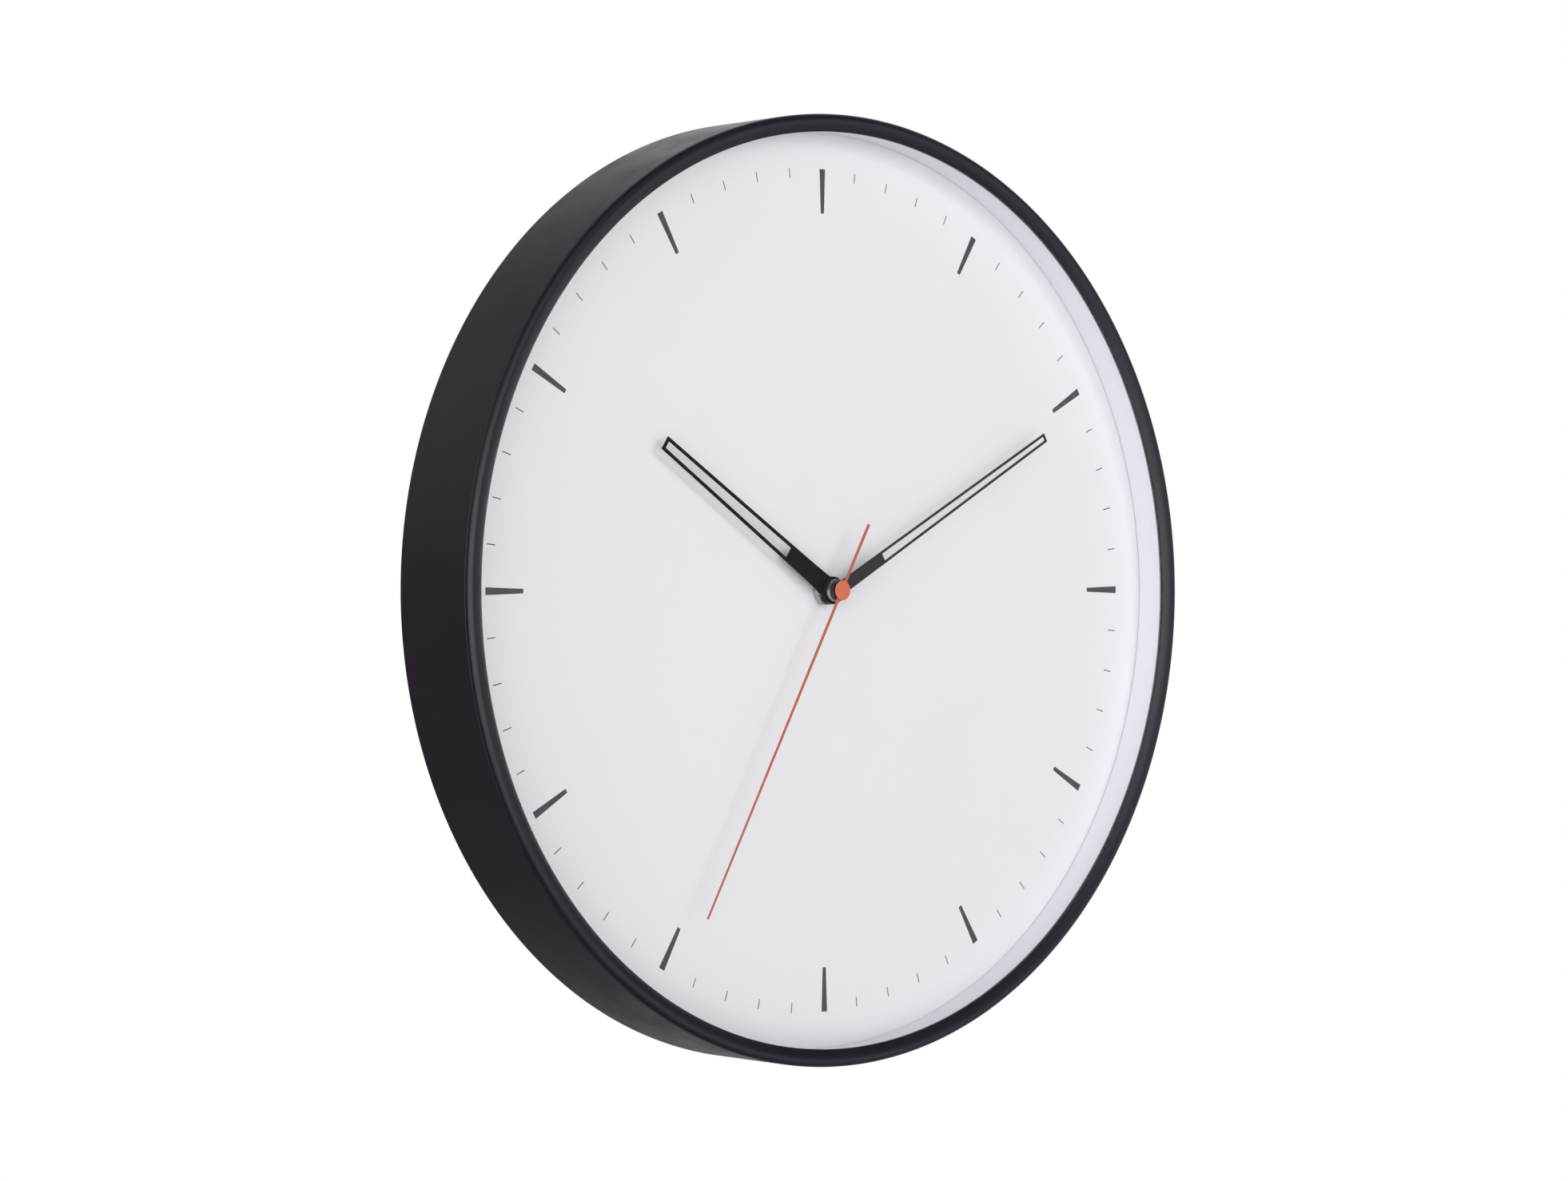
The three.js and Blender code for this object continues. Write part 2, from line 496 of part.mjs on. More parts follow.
const CANNON_GAP = meshPhase(12, CANNON_LEAF, TO_MOTION, 36);
const MOTION_GAP = meshPhase(10, MOTION_LEAF, TO_MOTION + 180, 40);

function gear(name, at, pieces, cuts, look) {
  add(face, name, joined(pieces, cuts), look).position.set(at.x, 0, at.z);
}

gear('rotor', ROTOR_AT, [
  plate(pinionShape(6, ROTOR_PAIR, ROTOR_LEAF), -16.4, -15.2),
  rod(1.6, -15.3, -13, 16),
  rod(PIVOT.thin, FRONT_PIVOT, PIVOT.end, 8),
], [], STEEL);

gear('intermediate_wheel', INTERMEDIATE_AT, [
  plate(wheelShape(36, ROTOR_PAIR, ROTOR_GAP), -16.2, -15.5),
  plate(pinionShape(6, SECOND_PAIR, INTERMEDIATE_LEAF), -17.6, -16.1),
  rod(PIVOT.thin, FRONT_PIVOT, PIVOT.end, 8),
], [], WHEEL_WHITE);

gear('second_wheel', CENTRE, [
  plate(wheelShape(30, SECOND_PAIR, INTERMEDIATE_GAP), -17.5, -16.8),
  plate(pinionShape(6, THIRD_PAIR, SECOND_LEAF), -19.8, -17.4),
  rod(PIVOT.thick, SECOND_DEPTH.front, PIVOT.end, 12),
], [], STEEL);

gear('third_wheel', THIRD_AT, [
  plate(wheelShape(45, THIRD_PAIR, SECOND_GAP), -19.7, -18.9),
  plate(pinionShape(6, CENTRE_PAIR, THIRD_LEAF), -21.3, -19.6),
  rod(PIVOT.thin, MOVEMENT.front + 0.3, PIVOT.end, 8),
], [], WHEEL_WHITE);

gear('centre_wheel', CENTRE, [
  plate(wheelShape(48, CENTRE_PAIR, THIRD_GAP), -21.2, -20.4),
], [rod(PIPES.minuteOuter + 0.15, -22, -20, 20)], WHEEL_WHITE);

gear('minute_pipe', CENTRE, [
  plate(pinionShape(12, MOTION_PAIR, CANNON_LEAF), -22.7, -21.7),
  rod(PIPES.minuteOuter, MINUTE_DEPTH.front - 0.5, -20.1, 20),
], [rod(PIPES.minuteBore, MINUTE_DEPTH.front - 1, -20, 20)], CHROME);

gear('motion_wheel', MOTION_AT, [
  plate(wheelShape(36, MOTION_PAIR, CANNON_GAP), -22.6, -21.8),
  plate(pinionShape(10, HOUR_PAIR, MOTION_LEAF), -24, -22.5),
], [rod(0.8, -25, -21, 12)], WHEEL_WHITE);

gear('hour_wheel', CENTRE, [
  plate(wheelShape(40, HOUR_PAIR, MOTION_GAP), -23.9, -23.1),
  rod(PIPES.hourOuter, HOUR_DEPTH.front - 0.5, -23.2, 20),
], [rod(PIPES.hourBore, HOUR_DEPTH.front - 1, -23, 20)], WHEEL_WHITE);

gear('setting_knob', SETTING_AT, [
  plate(pinionShape(12, MOTION_PAIR, meshPhase(36, CANNON_GAP, TO_SETTING, 12)), -22.7, -21.7),
  rod(1.1, -23.6, -8.5, 12),
  rod(6, MOVEMENT.rear + GAP, -5.6, 20),
], [], BLACK_PLASTIC);

export default clock;
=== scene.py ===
"""Looks of a round wall clock: satin black case, flat glass, white dial, skeleton hands and quartz movement.

Metres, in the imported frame: X to the right seen from the front, Y towards the wall and Z up.
"""
import math

import bmesh
import bpy
from mathutils import Matrix, Vector


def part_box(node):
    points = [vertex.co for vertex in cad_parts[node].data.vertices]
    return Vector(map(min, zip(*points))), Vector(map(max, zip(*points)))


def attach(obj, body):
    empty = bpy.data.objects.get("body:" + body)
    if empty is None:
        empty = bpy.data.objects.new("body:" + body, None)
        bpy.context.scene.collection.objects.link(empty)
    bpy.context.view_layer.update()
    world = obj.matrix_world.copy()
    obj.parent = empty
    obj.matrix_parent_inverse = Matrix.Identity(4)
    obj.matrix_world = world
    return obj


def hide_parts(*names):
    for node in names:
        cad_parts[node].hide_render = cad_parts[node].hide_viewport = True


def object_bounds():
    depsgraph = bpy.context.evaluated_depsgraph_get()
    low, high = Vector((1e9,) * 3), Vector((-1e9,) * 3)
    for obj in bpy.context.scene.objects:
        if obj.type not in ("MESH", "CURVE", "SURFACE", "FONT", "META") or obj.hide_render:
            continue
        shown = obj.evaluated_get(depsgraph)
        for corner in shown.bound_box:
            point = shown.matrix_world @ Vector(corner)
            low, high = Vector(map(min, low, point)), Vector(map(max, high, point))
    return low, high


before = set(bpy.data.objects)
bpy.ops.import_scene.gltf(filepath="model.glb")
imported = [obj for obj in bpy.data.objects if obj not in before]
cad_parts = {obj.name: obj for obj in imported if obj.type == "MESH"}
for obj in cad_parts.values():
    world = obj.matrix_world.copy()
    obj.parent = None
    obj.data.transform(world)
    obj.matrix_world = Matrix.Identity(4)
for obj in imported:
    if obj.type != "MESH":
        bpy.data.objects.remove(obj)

CAD_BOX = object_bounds()  # its lowest and its highest corner
MM = 0.001
TURN = 2 * math.pi
SAME = 2e-6  # metres; two places this close count as one
FLAT_EDGE = 20  # degrees; plates keep their faces flat up to the first bend of their rounded edges


# ---- Reading the frame ----
def corners(node):
    return [v.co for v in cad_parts[node].data.vertices]


def middle(node):
    low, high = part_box(node)
    return (low + high) / 2


CENTRE = middle("case_band")  # the hands' axis passes through it along Y
DIAL_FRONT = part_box("dial_plate")[0].y


def near(a, b):
    return abs(a - b) < SAME


def chained(pairs):
    """Puts the points of an outline in order from its edges: an open chain, or the longest loops first."""
    links = {}
    for a, b in pairs:
        links.setdefault(a, set()).add(b)
        links.setdefault(b, set()).add(a)
    chains = []
    while links:
        ends = [p for p in links if len(links[p]) == 1]
        point = min(ends or links)
        chain = [point]
        while links.get(point):
            following = min(links[point])
            links[point].discard(following)
            links[following].discard(point)
            if following != chain[0]:
                chain.append(following)
            point = following
        links = {p: linked for p, linked in links.items() if linked}
        chains.append(chain)
    return sorted(chains, key=len, reverse=True)


def section(node, axis):
    """The (radius, y) outline of a turned CAD node, from the corners on one half plane through its axis."""
    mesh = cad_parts[node].data
    arms = {v.index: Vector((v.co.x - axis.x, v.co.z - axis.z)) for v in mesh.vertices}
    reach = max(arm.length for arm in arms.values())
    outermost = [arm for arm in arms.values() if near(arm.length, reach)]
    ray = max(outermost, key=lambda arm: arm.x).normalized()
    on_ray = {}
    for v in mesh.vertices:
        arm = arms[v.index]
        off_ray = abs(arm.x * ray.y - arm.y * ray.x)
        if off_ray < 1.5 * SAME and arm.dot(ray) > -SAME:
            on_ray[v.index] = (round(arm.length, 6), round(v.co.y, 6))
    edges = [(on_ray[e.vertices[0]], on_ray[e.vertices[1]]) for e in mesh.edges
             if e.vertices[0] in on_ray and e.vertices[1] in on_ray]
    return chained([(a, b) for a, b in edges if a != b and max(a[0], b[0]) > SAME])[0]


def flat_outlines(node, y):
    """The closed (x, z) outlines of the CAD node's flat face at that depth."""
    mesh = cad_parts[node].data
    place = {v.index: (round(v.co.x, 6), round(v.co.z, 6)) for v in mesh.vertices if near(v.co.y, y)}
    uses = {}
    for face in mesh.polygons:
        if all(i in place for i in face.vertices):
            loop = [place[i] for i in face.vertices]
            for a, b in zip(loop, loop[1:] + loop[:1]):
                edge = (min(a, b), max(a, b))
                uses[edge] = uses.get(edge, 0) + 1
    return chained([edge for edge, count in uses.items() if count == 1])


def true_circle(centre, radius):
    steps = 256 if radius > 50 * MM else 64
    angles = [TURN * i / steps for i in range(steps)]
    return [centre + radius * Vector((math.cos(angle), math.sin(angle))) for angle in angles]


def arc_smoothed(outline):
    """Rounds the facets of an outline's arcs and keeps its corners; a faceted circle becomes a true one."""
    points = [Vector(p) for p in outline]
    centre = sum(points, Vector((0, 0))) / len(points)
    radii = [(p - centre).length for p in points]
    if len(points) > 8 and max(radii) - min(radii) < 10 * SAME:
        return true_circle(centre, radii[0])
    sharpest_facet = math.radians(42)
    for _ in range(3):
        finer = []
        for before, here, after in zip(points[-1:] + points[:-1], points, points[1:] + points[:1]):
            if (here - before).angle(after - here, 0) < sharpest_facet:
                finer += [here.lerp(before, 0.25), here.lerp(after, 0.25)]
            else:
                finer.append(here)
        points = finer
    return points


# ---- Making meshes ----
def piece(name, mesh, look, body, stands_for=(), sharp=32):
    """Puts a mesh on its body. Edges that turn by more than sharp degrees are shaded as edges."""
    mesh.set_sharp_from_angle(angle=math.radians(sharp))
    mesh.materials.clear()
    mesh.materials.append(look)
    made = bpy.data.objects.new(name, mesh)
    bpy.context.scene.collection.objects.link(made)
    # Large faces rule the shading of their corners, so flat faces look flat beside their rounded edges.
    even = made.modifiers.new("even shading", "WEIGHTED_NORMAL")
    even.keep_sharp = True
    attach(made, body)
    if stands_for:
        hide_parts(*stands_for)
    return made


def mesh_of(name, build):
    """A mesh made by build(bm), with its doubled corners joined and its faces turned outwards."""
    bm = bmesh.new()
    build(bm)
    bmesh.ops.remove_doubles(bm, verts=bm.verts, dist=1e-7)
    bmesh.ops.dissolve_degenerate(bm, edges=bm.edges, dist=1e-8)
    bmesh.ops.recalc_face_normals(bm, faces=bm.faces)
    for face in bm.faces:
        face.smooth = True
    mesh = bpy.data.meshes.new(name)
    bm.to_mesh(mesh)
    bm.free()
    return mesh


def rounded(outline, radius, closed=True, steps=3):
    """The outline with each corner replaced by a small curve; an open outline keeps its two ends."""
    points = [Vector(p) for p in outline]
    count = len(points)
    result = []
    for i, here in enumerate(points):
        if not closed and i in (0, count - 1):
            result.append(here)
            continue
        before = points[i - 1]
        after = points[(i + 1) % count]
        if (here - before).angle(after - here, 0) < math.radians(8):
            result.append(here)
            continue
        start = here.lerp(before, min(radius / (before - here).length, 0.45))
        end = here.lerp(after, min(radius / (after - here).length, 0.45))
        for step in range(steps + 1):
            t = step / steps
            result.append(start.lerp(here, t).lerp(here.lerp(end, t), t))
    return result


def round_axis(axis, angle, radius, y):
    return (axis.x + radius * math.cos(angle), y, axis.z + radius * math.sin(angle))


def skin(bm, rings, closed=True):
    """Faces between neighbouring rings of points, all the way round the axis."""
    rings = [[bm.verts.new(point) for point in ring] for ring in rings]
    for ring, other in zip(rings, rings[1:] + rings[:1]):
        last = len(ring) if closed else len(ring) - 1
        for j in range(last):
            k = (j + 1) % len(ring)
            bm.faces.new((ring[j], ring[k], other[k], other[j]))


def turned_mesh(name, outline, axis, closed=True, segments=96, wave=None):
    """A body of revolution about a line along Y. wave(angle) scales the radius, for flutes."""
    def build(bm):
        rings = []
        for i in range(segments):
            angle = TURN * i / segments
            scale = wave(angle) if wave else 1
            rings.append([round_axis(axis, angle, r * scale, y) for r, y in outline])
        skin(bm, rings, closed)
    return mesh_of(name, build)


def turn_again(node, look, body, edge=0.15 * MM, segments=96, sharp=32):
    """A finely turned piece with rounded corners in place of a faceted CAD node."""
    outline = section(node, CENTRE)
    closed = outline[0][0] > SAME
    mesh = turned_mesh(node, rounded(outline, edge, closed), CENTRE, closed, segments)
    return piece(f"{node}_fine", mesh, look, body, (node,), sharp)


def flat_mesh(name, outlines, front, rear, edge):
    """A plate between two depths with its outlines' holes left open and its edges rounded."""
    drawing = bpy.data.curves.new(name, "CURVE")
    drawing.dimensions = "2D"
    drawing.fill_mode = "BOTH"
    drawing.extrude = (rear - front) / 2 - edge
    drawing.bevel_depth = edge
    drawing.bevel_resolution = 2
    drawing.offset = -edge
    for outline in outlines:
        spline = drawing.splines.new("POLY")
        spline.points.add(len(outline) - 1)
        for point, (x, z) in zip(spline.points, outline):
            point.co = (x, z, 0, 1)
        spline.use_cyclic_u = True
    holder = bpy.data.objects.new(name, drawing)
    bpy.context.scene.collection.objects.link(holder)
    bpy.context.view_layer.update()
    drawn = bpy.data.meshes.new_from_object(holder.evaluated_get(bpy.context.evaluated_depsgraph_get()))
    drawn.transform(Matrix.Translation((0, (front + rear) / 2, 0)) @ Matrix.Rotation(math.pi / 2, 4, "X"))
    bpy.data.objects.remove(holder)
    bpy.data.curves.remove(drawing)
    mesh = mesh_of(name, lambda bm: bm.from_mesh(drawn))
    bpy.data.meshes.remove(drawn)
    return mesh


def flat_again(node, look, body, edge):
    """A plate drawn from the CAD node's rear face, with smooth arcs and rounded edges."""
    low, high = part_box(node)
    outlines = [arc_smoothed(outline) for outline in flat_outlines(node, high.y)]
    mesh = flat_mesh(node, outlines, low.y, high.y, edge)
    return piece(f"{node}_fine", mesh, look, body, (node,), FLAT_EDGE)


def bevelled_copy(node, look, body, edge):
    """A copy of a CAD node with its flat faces merged and its edges rounded."""
    def build(bm):
        bm.from_mesh(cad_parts[node].data)
        bmesh.ops.remove_doubles(bm, verts=bm.verts, dist=SAME / 2)
        bmesh.ops.dissolve_limit(bm, angle_limit=math.radians(1), verts=bm.verts, edges=bm.edges)
        sharp = [e for e in bm.edges if e.is_manifold and e.calc_face_angle() > math.radians(40)]
        bmesh.ops.bevel(bm, geom=sharp, offset=edge, segments=2, profile=0.5, affect="EDGES",
                        clamp_overlap=True)
    return piece(f"{node}_fine", mesh_of(node, build), look, body, (node,))


# ---- Materials ----
class Nodes:
    """Short calls for the node tree of one material or world."""

    def __init__(self, owner, output="ShaderNodeOutputMaterial"):
        owner.use_nodes = True
        self.owner = owner
        self.tree = owner.node_tree
        self.tree.nodes.clear()
        self.output = self.tree.nodes.new(output)
        self.coordinates = self.tree.nodes.new("ShaderNodeTexCoord").outputs

    def node(self, kind, **settings):
        made = self.tree.nodes.new(kind)
        for key, value in settings.items():
            setattr(made, key, value)
        return made

    def link(self, source, target):
        self.tree.links.new(source, target)

    def noise(self, scale, detail=4.0, stretch=None):
        """Noise over the object's own coordinates, with scale in features to the metre."""
        made = self.node("ShaderNodeTexNoise")
        made.inputs["Scale"].default_value = scale
        made.inputs["Detail"].default_value = detail
        made.inputs["Roughness"].default_value = 0.6
        place = self.coordinates["Object"]
        if stretch:
            mapping = self.node("ShaderNodeMapping")
            mapping.inputs["Scale"].default_value = stretch
            self.link(place, mapping.inputs["Vector"])
            place = mapping.outputs["Vector"]
        self.link(place, made.inputs["Vector"])
        return made.outputs["Fac"]

    def spread(self, value, low, high, start=0.3, end=0.7):
        """A value from start to end, taken in step to one from low to high."""
        made = self.node("ShaderNodeMapRange")
        made.inputs["From Min"].default_value = start
        made.inputs["From Max"].default_value = end
        made.inputs["To Min"].default_value = low
        made.inputs["To Max"].default_value = high
        self.link(value, made.inputs["Value"])
        return made.outputs["Result"]

    def between(self, value, first, second):
        """Two colours, plain or from another node, mixed by a value from 0 to 1."""
        made = self.node("ShaderNodeMix", data_type="RGBA")
        self.link(value, made.inputs["Factor"])
        for socket, color in (("A", first), ("B", second)):
            if isinstance(color, tuple):
                made.inputs[socket].default_value = (*color, 1)
            else:
                self.link(color, made.inputs[socket])
        return made.outputs["Result"]

    def blended(self, share, first, second):
        """Two shaders mixed by a value from 0 to 1."""
        made = self.node("ShaderNodeMixShader")
        self.link(share, made.inputs["Fac"])
        self.link(first.outputs[0], made.inputs[1])
        self.link(second.outputs[0], made.inputs[2])
        return made

    def math(self, operation, first, second):
        made = self.node("ShaderNodeMath", operation=operation)
        for socket, value in zip(made.inputs, (first, second)):
            if isinstance(value, (int, float)):
                socket.default_value = value
            else:
                self.link(value, socket)
        return made.outputs["Value"]

    def bump(self, height, depth, strength=1.0, under=None):
        made = self.node("ShaderNodeBump")
        made.inputs["Strength"].default_value = strength
        made.inputs["Distance"].default_value = depth
        self.link(height, made.inputs["Height"])
        if under is not None:
            self.link(under, made.inputs["Normal"])
        return made.outputs["Normal"]

    def surface(self, color, roughness, normal=None, **plain):
        made = self.node("ShaderNodeBsdfPrincipled")
        for socket, value in (("Base Color", color), ("Roughness", roughness), ("Normal", normal)):
            if isinstance(value, (int, float)):
                made.inputs[socket].default_value = value
            elif value is not None:
                self.link(value, made.inputs[socket])
        for key, value in plain.items():
            made.inputs[key.replace("_", " ")].default_value = value
        return made

    def finish(self, shader):
        self.link(shader.outputs[0], self.output.inputs["Surface"])
        return self.owner


def worn_and_highlit_edges(nodes, color, bright, amount):
    """Lightens the colour along outer edges, broken up by noise: partly wear, partly a painted highlight
    along the edges.
    """
    pointed = nodes.node("ShaderNodeNewGeometry").outputs["Pointiness"]
    edge = nodes.spread(pointed, 0, amount, 0.53, 0.62)
    broken = nodes.math("MULTIPLY", edge, nodes.spread(nodes.noise(900), 0, 1, 0.4, 0.6))
    return nodes.between(broken, color, bright)


def moulded(name, dark, light, roughness, grain=2600, depth=0.02 * MM, wear_and_highlight=0.25):
    """Moulded or sprayed finish: fine grain, uneven gloss and lighter outer edges, as wear together with a
    painted edge highlight.
    """
    nodes = Nodes(bpy.data.materials.new(name))
    color = nodes.between(nodes.spread(nodes.noise(14, 6), 0, 1), dark, light)
    # The lighter edge colour is wear together with a painted edge highlight.
    worn_and_highlit_color = tuple(min(1, 3 * c + 0.02) for c in light)
    color = worn_and_highlit_edges(nodes, color, worn_and_highlit_color, wear_and_highlight)
    rough = nodes.spread(nodes.noise(60, 5), roughness - 0.05, roughness + 0.05)
    swell = nodes.bump(nodes.noise(110, 2), 0.02 * MM, 0.25)
    normal = nodes.bump(nodes.noise(grain, 3), depth, 0.6, swell)
    return nodes.finish(nodes.surface(color, rough, normal))


def metal(name, dark, light, roughness, stretch=(1, 1, 1), grain=1500):
    """Bare metal with fine machining lines and a little haze."""
    nodes = Nodes(bpy.data.materials.new(name))
    color = nodes.between(nodes.spread(nodes.noise(45, 6), 0, 1), dark, light)
    rough = nodes.spread(nodes.noise(140, 5), roughness - 0.06, roughness + 0.08)
    normal = nodes.bump(nodes.noise(grain, 3, stretch), 0.01 * MM, 0.5)
    return nodes.finish(nodes.surface(color, rough, normal, Metallic=1.0))


def rubber(name):
    """Dull black rubber with a fine grain."""
    nodes = Nodes(bpy.data.materials.new(name))
    color = nodes.between(nodes.spread(nodes.noise(300, 6), 0, 1), (0.012, 0.012, 0.013), (0.03, 0.03, 0.032))
    normal = nodes.bump(nodes.noise(1800, 4), 0.04 * MM, 0.7)
    return nodes.finish(nodes.surface(color, nodes.spread(nodes.noise(500), 0.75, 0.92), normal))


def lacquer(name, base, shade, roughness, shine=0.5):
    """Sprayed lacquer on sheet metal: faint orange peel and dust."""
    nodes = Nodes(bpy.data.materials.new(name))
    color = nodes.between(nodes.spread(nodes.noise(9, 5), 0, 1), base, shade)
    rough = nodes.spread(nodes.noise(35, 5), roughness - 0.04, roughness + 0.06)
    orange_peel = nodes.bump(nodes.noise(420, 2), 0.01 * MM, 0.3)
    dust = nodes.bump(nodes.noise(3200, 2), 0.006 * MM, 0.5, orange_peel)
    return nodes.finish(nodes.surface(color, rough, dust, Specular_IOR_Level=shine))


def printed(name):
    """Screen-printed ink: nearly even, with faint pinholes and a duller surface than the dial."""
    nodes = Nodes(bpy.data.materials.new(name))
    pinholes = nodes.spread(nodes.noise(5200, 2), 0, 1, 0.62, 0.8)
    ink = nodes.between(nodes.spread(nodes.noise(240, 5), 0, 1), (0.05, 0.048, 0.055), (0.066, 0.064, 0.072))
    thin_ink = (0.2, 0.2, 0.21)
    normal = nodes.bump(nodes.noise(4000, 2), 0.004 * MM, 0.4)
    return nodes.finish(nodes.surface(nodes.between(pinholes, ink, thin_ink), 0.6, normal))


def window_glass(name):
    """Flat glass that reflects little, as in the photograph. Scattered light passes straight through it."""
    nodes = Nodes(bpy.data.materials.new(name))
    ripple = nodes.bump(nodes.noise(7, 1), 0.002 * MM, 0.2)
    tint = nodes.between(nodes.spread(nodes.noise(20, 3), 0, 1), (0.985, 0.995, 0.99), (0.99, 0.998, 0.995))
    glass = nodes.surface(tint, 0.0, ripple, Transmission_Weight=1.0, IOR=1.15)
    clear = nodes.node("ShaderNodeBsdfTransparent")
    path = nodes.node("ShaderNodeLightPath")
    passing = nodes.math("MAXIMUM", path.outputs["Is Shadow Ray"], path.outputs["Is Diffuse Ray"])
    return nodes.finish(nodes.blended(passing, glass, clear))


def battery_film(name, split, low_end):
    """A two-tone printed film; the tones meet at x = split, and the bare steel ends show past it."""
    nodes = Nodes(bpy.data.materials.new(name))
    across = nodes.node("ShaderNodeSeparateXYZ")
    nodes.link(nodes.coordinates["Object"], across.inputs["Vector"])
    copper_part = nodes.spread(across.outputs["X"], 0, 1, split - 0.05 * MM, split + 0.05 * MM)
    body = nodes.between(nodes.spread(nodes.noise(200, 5), 0, 1), (0.03, 0.07, 0.16), (0.045, 0.095, 0.2))
    band = nodes.between(nodes.spread(nodes.noise(200, 5), 0, 1), (0.5, 0.27, 0.1), (0.58, 0.33, 0.14))
    color = nodes.between(copper_part, body, band)
    bare = nodes.spread(across.outputs["X"], 1, 0, low_end, low_end + 0.1 * MM)
    steel = nodes.between(nodes.spread(nodes.noise(300), 0, 1), (0.5, 0.5, 0.51), (0.62, 0.62, 0.63))
    color = nodes.between(bare, color, steel)
    normal = nodes.bump(nodes.noise(900, 3), 0.01 * MM, 0.4)
    return nodes.finish(nodes.surface(color, nodes.spread(nodes.noise(80), 0.24, 0.36), normal, Metallic=0.4))


def wound_copper(name, pitch):
    """Enamelled wire in close turns, drawn by rings along X. The colour is painted darker in the grooves
    between turns and lighter on their crests: painted shade and painted highlight.
    """
    nodes = Nodes(bpy.data.materials.new(name))
    across = nodes.node("ShaderNodeSeparateXYZ")
    nodes.link(nodes.coordinates["Object"], across.inputs["Vector"])
    turn = nodes.math("SINE", nodes.math("MULTIPLY", across.outputs["X"], TURN / pitch), 0)
    # Painted shade in the grooves between turns and painted highlight on their crests.
    color = nodes.between(nodes.spread(turn, 0, 1, -1, 1), (0.22, 0.06, 0.02), (0.62, 0.22, 0.08))
    normal = nodes.bump(turn, 0.05 * MM, 0.8)
    return nodes.finish(nodes.surface(color, nodes.spread(nodes.noise(400), 0.25, 0.4), normal, Metallic=0.8))


CASE_BLACK = moulded("case_black", (0.0105, 0.006, 0.012), (0.0145, 0.009, 0.0165), 0.35, wear_and_highlight=0.15)
BEZEL_BLACK = moulded("bezel_black", (0.0075, 0.0071, 0.0135), (0.011, 0.0104, 0.018), 0.3, grain=4200,
                      depth=0.008 * MM, wear_and_highlight=0.1)
BACK_BLACK = moulded("back_black", (0.012, 0.012, 0.0125), (0.02, 0.02, 0.021), 0.55, grain=1500,
                     depth=0.05 * MM, wear_and_highlight=0)
MOVEMENT_BLACK = moulded("movement_black", (0.01, 0.01, 0.0105), (0.017, 0.017, 0.018), 0.5, grain=2200,
                         depth=0.03 * MM)
CHIP_BLACK = moulded("chip_black", (0.012, 0.012, 0.012), (0.02, 0.02, 0.02), 0.6)
SPACER_WHITE = moulded("spacer_white", (0.82, 0.835, 0.88), (0.85, 0.86, 0.905), 0.45, wear_and_highlight=0.0)
ACETAL = moulded("acetal", (0.72, 0.7, 0.64), (0.82, 0.8, 0.74), 0.4, wear_and_highlight=0.05)
BOARD = moulded("board", (0.02, 0.1, 0.045), (0.04, 0.15, 0.07), 0.45, grain=800)
DIAL_WHITE = lacquer("dial_white", (0.855, 0.865, 0.885), (0.87, 0.88, 0.9), 0.5)
INK = printed("dial_ink")
HAND_BLACK = lacquer("hand_black", (0.003, 0.003, 0.004), (0.005, 0.005, 0.0065), 0.5, shine=0.1)
HAND_GREY = lacquer("minute_hand_black", (0.018, 0.017, 0.021), (0.025, 0.024, 0.029), 0.42, shine=0.3)
# The needle is the same orange paint as the cap; its darker copy is painted shade.
NEEDLE_ORANGE_PAINTED_SHADE = lacquer("needle_orange_painted_shade", (0.48, 0.125, 0.07), (0.55, 0.15, 0.085), 0.45, shine=0.3)
HAND_ORANGE = lacquer("hand_orange", (0.66, 0.16, 0.075), (0.74, 0.2, 0.1), 0.45, shine=0.3)
RUBBER = rubber("black_rubber")
GLASS = window_glass("clear_glass")
ZINC = metal("zinc_steel", (0.42, 0.43, 0.45), (0.6, 0.61, 0.63), 0.32, (1, 8, 1))
CHROME = metal("chrome", (0.4, 0.39, 0.4), (0.52, 0.51, 0.52), 0.14)
STEEL = metal("gear_steel", (0.45, 0.45, 0.47), (0.6, 0.6, 0.62), 0.3, (1, 12, 1))
BRASS = metal("brass", (0.62, 0.42, 0.15), (0.78, 0.56, 0.24), 0.28)
COPPER = wound_copper("copper_wire", 0.25 * MM)


# ---- Case ----
def bezel():
    """The bezel's front is one curve from its opening to the crest and round into the side."""
    outline = section("bezel_ring", CENTRE)
    crest = min(outline, key=lambda p: p[1])
    inside = min(p[0] for p in outline)
    outside = max(p[0] for p in outline)
    opening = min((p for p in outline if near(p[0], inside)), key=lambda p: p[1])
    side = min((p for p in outline if near(p[0], outside)), key=lambda p: p[1])
    steps = 14
    front = []
    for i in range(steps + 1):
        t = i / steps
        r = opening[0] + (crest[0] - opening[0]) * t
        front.append((r, crest[1] + (opening[1] - crest[1]) * (1 - t) ** 2))
    for i in range(1, steps + 1):
        angle = TURN / 4 * i / steps
        r = crest[0] + (outside - crest[0]) * math.sin(angle)
        front.append((r, side[1] + (crest[1] - side[1]) * math.cos(angle)))
    at = outline.index(side)
    step = 1 if outline[(at + 1) % len(outline)][1] > side[1] - SAME else -1
    back = []
    while outline[at] != opening:
        at = (at + step) % len(outline)
        back.append(outline[at])
    rear = rounded([side, *back], 0.1 * MM, closed=False)[1:-1]
    mesh = turned_mesh("bezel_ring", front + rear, CENTRE, segments=512)
    return piece("bezel_ring_fine", mesh, BEZEL_BLACK, "case", ("bezel_ring",), 50)


turn_again("case_band", CASE_BLACK, "case", 0.35 * MM, 512)
bezel()
turn_again("lens_glass", GLASS, "case", 0.25 * MM, 384, sharp=5)
turn_again("lens_gasket", RUBBER, "case", 0.1 * MM, 256)
turn_again("spacer_ring", SPACER_WHITE, "case", 0.12 * MM, 512)
turn_again("dial_plate", DIAL_WHITE, "case", 0.08 * MM, 384)
flat_again("rear_cover", BACK_BLACK, "case", 0.2 * MM)
flat_again("hanger_plate", ZINC, "case", 0.1 * MM)


